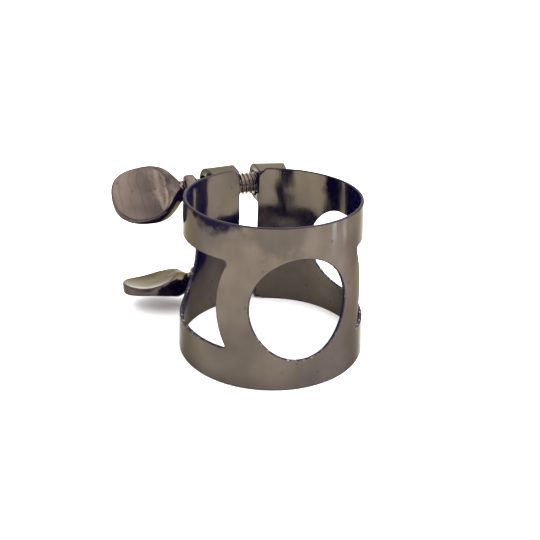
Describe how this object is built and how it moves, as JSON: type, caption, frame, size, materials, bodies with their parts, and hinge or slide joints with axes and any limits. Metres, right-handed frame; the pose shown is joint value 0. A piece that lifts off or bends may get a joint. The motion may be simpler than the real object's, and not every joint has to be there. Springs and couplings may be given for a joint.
{
  "type": "saxophone ligature",
  "caption": "Slit conical metal band with a round window and side openings, closed by thumb screws, that clamps a reed to a saxophone mouthpiece.",
  "frame": {"origin": "on the band's axis, in the plane of its wide rim", "axes": "+Z along the band's axis from the wide rim to the narrow rim, +Y towards the slit and the screw posts, -Y towards the round window, screw heads towards -X"},
  "size_m": [0.0338, 0.0336, 0.0226],
  "materials": {
    "band_plate": "polished black nickel plate over brass sheet",
    "post_plate": "polished black nickel plate over brass",
    "screw_plate": "polished black nickel plate over turned brass",
    "thumb_plate": "polished black nickel plate over brass"
  },
  "bodies": {
    "hoop": {"band": "band_plate", "upper_clearance_post": "post_plate", "lower_clearance_post": "post_plate"},
    "threaded_side": {"upper_threaded_post": "post_plate", "lower_threaded_post": "post_plate"},
    "upper_screw": {"upper_screw": "screw_plate", "upper_thumb_plate": "thumb_plate"},
    "lower_screw": {"lower_screw": "screw_plate", "lower_thumb_plate": "thumb_plate"}
  },
  "joints": [
    {"name": "gap_close", "type": "hinge", "parent": "hoop", "child": "threaded_side", "pos_m": [0, -0.01305, 0], "axis": [0, 0.0557, 0.9984], "range_deg": [0, 3.9], "deforming": ["band"]},
    {"name": "upper_screw_turn", "type": "hinge", "parent": "hoop", "child": "upper_screw", "pos_m": [0, 0.0146, 0.01942], "axis": [0.9992, 0, 0.0401], "range_deg": [0, 1080]},
    {"name": "lower_screw_turn", "type": "hinge", "parent": "hoop", "child": "lower_screw", "pos_m": [0, 0.01545, 0.003], "axis": [0.9996, 0, -0.0279], "range_deg": [0, 1155]}
  ],
  "couplings": [
    {"joint": "gap_close", "follows": "upper_screw_turn", "ratio": 0.0036},
    {"joint": "lower_screw_turn", "follows": "upper_screw_turn", "ratio": 1.0665}
  ]
}
